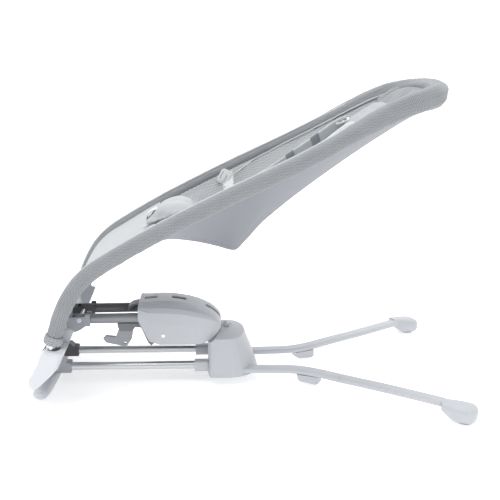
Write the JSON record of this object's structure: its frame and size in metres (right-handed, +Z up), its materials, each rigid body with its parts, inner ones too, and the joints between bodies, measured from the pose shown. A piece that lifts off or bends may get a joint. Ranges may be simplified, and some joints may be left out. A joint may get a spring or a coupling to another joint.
{
  "type": "bouncer seat",
  "caption": "Infant bouncer: tubular floor base with splayed rear legs, a height-adjusting arm in a rounded housing, and a reclining fabric bucket seat.",
  "frame": {"origin": "on the floor, at the centre of the overall length and width", "axes": "+X towards the head end, +Y towards the far side (the near side, with the release lever, is -Y), +Z up"},
  "size_m": [0.8504, 0.5704, 0.6128],
  "materials": {
    "light_plastic": "satin moulded",
    "white_shell": "semi-gloss moulded",
    "dark_plastic": "satin moulded",
    "steel": "plated tube",
    "arm_paint": "powder coat",
    "rubber": "matte",
    "knit": "spacer mesh knit",
    "jersey": "smooth jersey",
    "sling_cloth": "plain weave",
    "webbing": "woven webbing",
    "buckle": "satin moulded"
  },
  "bodies": {
    "base": {"front_foot_bar": "light_plastic", "front_sole_near": "rubber", "front_sole_far": "rubber", "tube_socket_near": "dark_plastic", "tube_socket_far": "dark_plastic", "base_tube_near": "steel", "base_tube_far": "steel", "tube_collar_near": "light_plastic", "tube_collar_far": "light_plastic", "hub_shell": "light_plastic", "pivot_post": "dark_plastic", "hub_floor": "light_plastic", "arm_axle": "steel", "leg_front_near": "light_plastic", "leg_front_far": "light_plastic", "leg_rear_near": "light_plastic", "leg_rear_far": "light_plastic", "mid_pad_near": "light_plastic", "mid_pad_far": "light_plastic", "rear_foot_near": "light_plastic", "rear_foot_far": "light_plastic", "rear_sole_near": "rubber", "rear_sole_far": "rubber"},
    "lock_tab": {"lock_tab": "light_plastic"},
    "lift_arm": {"lift_arm_near": "arm_paint", "lift_arm_far": "arm_paint", "arm_knuckle": "dark_plastic", "arm_housing_near": "light_plastic", "arm_housing_far": "light_plastic", "lever_clip": "dark_plastic", "housing_guard": "dark_plastic"},
    "release_lever": {"release_lever": "dark_plastic"},
    "levelling_rod": {"levelling_rod": "steel"},
    "carrier": {"clevis_near": "dark_plastic", "clevis_far": "dark_plastic", "carrier_axle": "steel", "carrier_panel": "light_plastic", "front_shell": "white_shell"},
    "seat": {"side_tube_near": "steel", "side_tube_far": "steel", "head_bow": "steel", "side_roll_near": "knit", "side_roll_far": "knit", "head_roll": "knit", "calf_panel": "jersey", "bag_gusset_near": "sling_cloth", "bag_gusset_far": "sling_cloth", "bag_seat": "sling_cloth", "bag_back": "sling_cloth", "insert_seat": "knit", "insert_back": "knit", "head_pillow": "jersey", "crotch_guard": "jersey", "waist_strap_near": "webbing", "waist_strap_far": "webbing", "waist_buckle": "buckle", "shoulder_strap_near": "webbing", "shoulder_strap_far": "webbing", "shoulder_adjuster_near": "buckle", "shoulder_adjuster_far": "buckle"}
  },
  "joints": [
    {"name": "arm_lift", "type": "hinge", "parent": "base", "child": "lift_arm", "pos_m": [-0.098, 0, 0.139], "axis": [0, 1, 0], "range_deg": [0, 45]},
    {"name": "rod_swing", "type": "hinge", "parent": "base", "child": "levelling_rod", "pos_m": [-0.098, 0.014, 0.123], "axis": [0, 1, 0], "range_deg": [0, 45]},
    {"name": "seat_level", "type": "hinge", "parent": "lift_arm", "child": "carrier", "pos_m": [-0.338, 0, 0.137], "axis": [0, 1, 0], "range_deg": [-45, 0]},
    {"name": "recline", "type": "hinge", "parent": "carrier", "child": "seat", "pos_m": [-0.372, 0, 0.118], "axis": [0, -1, 0], "range_deg": [0, 20]},
    {"name": "lever_squeeze", "type": "hinge", "parent": "lift_arm", "child": "release_lever", "pos_m": [-0.244, -0.03, 0.1165], "axis": [0, 1, 0], "range_deg": [0, 12], "stiffness_Nm_per_rad": 0.4, "springref_deg": -11.46},
    {"name": "tab_press", "type": "slide", "parent": "base", "child": "lock_tab", "axis": [0, 0, -1], "range_m": [0, 0.006], "stiffness_N_per_m": 400, "springref_m": -0.004}
  ],
  "couplings": [
    {"joint": "rod_swing", "follows": "arm_lift", "ratio": 1},
    {"joint": "seat_level", "follows": "arm_lift", "ratio": -1}
  ]
}
